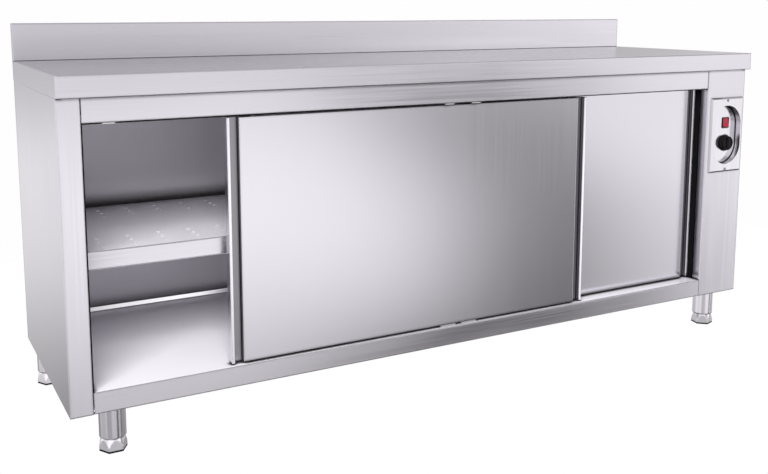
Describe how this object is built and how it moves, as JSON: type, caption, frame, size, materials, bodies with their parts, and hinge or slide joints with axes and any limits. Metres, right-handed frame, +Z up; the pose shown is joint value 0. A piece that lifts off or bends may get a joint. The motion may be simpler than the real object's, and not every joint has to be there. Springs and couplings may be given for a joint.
{
  "type": "plate warmer cabinet",
  "caption": "Long heated stainless steel cupboard on levelling feet, with a worktop and rear upstand, perforated shelf, hung sliding doors and a side column with switch and thermostat.",
  "frame": {"origin": "on the floor, under the middle of the worktop's plan", "axes": "+X to the right along the front, +Y from the front to the back, +Z up"},
  "size_m": [2, 0.6, 0.945],
  "materials": {
    "core_board": "bare board",
    "insulation": "mineral wool board",
    "rubber_black": "matt",
    "foot_polished": "polished",
    "buffer_black": "matt",
    "plastic_black": "satin",
    "plastic_grey": "matt",
    "rocker_red": "gloss",
    "nylon_white": "satin",
    "aluminium_mill": "mill finish",
    "steel_zinc": "galvanised",
    "steel_bright": "bright",
    "leg_satin": "satin",
    "door_stainless": "fine brushed",
    "worktop_stainless": "brushed lengthwise",
    "liner_stainless": "mill satin",
    "body_stainless": "brushed"
  },
  "bodies": {
    "cabinet": {"back_liner": "liner_stainless", "back_panel": "body_stainless", "base_channels": "steel_zinc", "bottom_guides": "nylon_white", "cable_gland": "plastic_black", "control_plate": "body_stainless", "control_plate_screws": "steel_bright", "door_buffers": "buffer_black", "door_track": "aluminium_mill", "fan_motor": "aluminium_mill", "floor_pan": "liner_stainless", "gland_nut": "plastic_black", "header_rail": "body_stainless", "heater_casing": "steel_zinc", "heating_element": "steel_bright", "leg_bolts": "steel_zinc", "leg_inserts": "plastic_grey", "leg_plates": "steel_zinc", "leg_tubes": "leg_satin", "liner_left": "liner_stainless", "liner_right": "liner_stainless", "shelf": "liner_stainless", "shelf_brackets": "steel_zinc", "shelf_stiffener": "steel_zinc", "side_panel_left": "body_stainless", "side_panel_right": "body_stainless", "switch_frame": "plastic_black", "terminal_block": "plastic_black", "thermostat_body": "plastic_black", "top_glides": "nylon_white", "top_liner": "liner_stainless", "worktop": "worktop_stainless", "worktop_board": "core_board", "worktop_channels": "steel_zinc"},
    "front_door": {"front_door_bottom_channel": "steel_zinc", "front_door_core": "insulation", "front_door_hangers": "steel_zinc", "front_door_liner": "door_stainless", "front_door_skin": "door_stainless"},
    "rear_door": {"rear_door_bottom_channel": "steel_zinc", "rear_door_core": "insulation", "rear_door_hangers": "steel_zinc", "rear_door_liner": "door_stainless", "rear_door_skin": "door_stainless"},
    "front_roller_left": {"front_door_roller_left": "nylon_white"},
    "front_roller_right": {"front_door_roller_right": "nylon_white"},
    "rear_roller_left": {"rear_door_roller_left": "nylon_white"},
    "rear_roller_right": {"rear_door_roller_right": "nylon_white"},
    "thermostat_control": {"thermostat_knob": "plastic_black", "thermostat_shaft": "steel_bright"},
    "power_rocker": {"switch_rocker": "rocker_red"},
    "fan": {"fan_wheel": "aluminium_mill"},
    "levelling_foot_front_left": {"foot_front_left": "foot_polished", "foot_pad_front_left": "rubber_black"},
    "levelling_foot_front_right": {"foot_front_right": "foot_polished", "foot_pad_front_right": "rubber_black"},
    "levelling_foot_rear_left": {"foot_rear_left": "foot_polished", "foot_pad_rear_left": "rubber_black"},
    "levelling_foot_rear_right": {"foot_rear_right": "foot_polished", "foot_pad_rear_right": "rubber_black"}
  },
  "joints": [
    {"name": "front_door_slide", "type": "slide", "parent": "cabinet", "child": "front_door", "axis": [1, 0, 0], "range_m": [-0.312, 0.445]},
    {"name": "rear_door_slide", "type": "slide", "parent": "cabinet", "child": "rear_door", "axis": [1, 0, 0], "range_m": [-0.757, 0]},
    {"name": "front_roller_left_turn", "type": "hinge", "parent": "front_door", "child": "front_roller_left", "pos_m": [-0.586, -0.2505, 0.7783], "axis": [0, 1, 0], "range_deg": [-1500, 2130]},
    {"name": "front_roller_right_turn", "type": "hinge", "parent": "front_door", "child": "front_roller_right", "pos_m": [0.35, -0.2505, 0.7783], "axis": [0, 1, 0], "range_deg": [-1500, 2130]},
    {"name": "rear_roller_left_turn", "type": "hinge", "parent": "rear_door", "child": "rear_roller_left", "pos_m": [-0.141, -0.2175, 0.7783], "axis": [0, 1, 0], "range_deg": [-3620, 5]},
    {"name": "rear_roller_right_turn", "type": "hinge", "parent": "rear_door", "child": "rear_roller_right", "pos_m": [0.795, -0.2175, 0.7783], "axis": [0, 1, 0], "range_deg": [-3620, 5]},
    {"name": "thermostat_turn", "type": "hinge", "parent": "cabinet", "child": "thermostat_control", "pos_m": [0.9398, -0.28, 0.58], "axis": [0, 1, 0], "range_deg": [0, 270]},
    {"name": "power_rocker_tip", "type": "hinge", "parent": "cabinet", "child": "power_rocker", "pos_m": [0.9398, -0.2676, 0.641], "axis": [1, 0, 0], "range_deg": [0, 20]},
    {"name": "fan_turn", "type": "hinge", "parent": "cabinet", "child": "fan", "pos_m": [0.93, 0.038, 0.61], "axis": [1, 0, 0], "continuous": true},
    {"name": "foot_front_left_screw", "type": "slide", "parent": "cabinet", "child": "levelling_foot_front_left", "axis": [0, 0, -1], "range_m": [0, 0.03]},
    {"name": "foot_front_right_screw", "type": "slide", "parent": "cabinet", "child": "levelling_foot_front_right", "axis": [0, 0, -1], "range_m": [0, 0.03]},
    {"name": "foot_rear_left_screw", "type": "slide", "parent": "cabinet", "child": "levelling_foot_rear_left", "axis": [0, 0, -1], "range_m": [0, 0.03]},
    {"name": "foot_rear_right_screw", "type": "slide", "parent": "cabinet", "child": "levelling_foot_rear_right", "axis": [0, 0, -1], "range_m": [0, 0.03]}
  ],
  "couplings": [
    {"joint": "front_roller_left_turn", "follows": "front_door_slide", "rad_per_m": 83.333},
    {"joint": "front_roller_right_turn", "follows": "front_door_slide", "rad_per_m": 83.333},
    {"joint": "rear_roller_left_turn", "follows": "rear_door_slide", "rad_per_m": 83.333},
    {"joint": "rear_roller_right_turn", "follows": "rear_door_slide", "rad_per_m": 83.333}
  ]
}
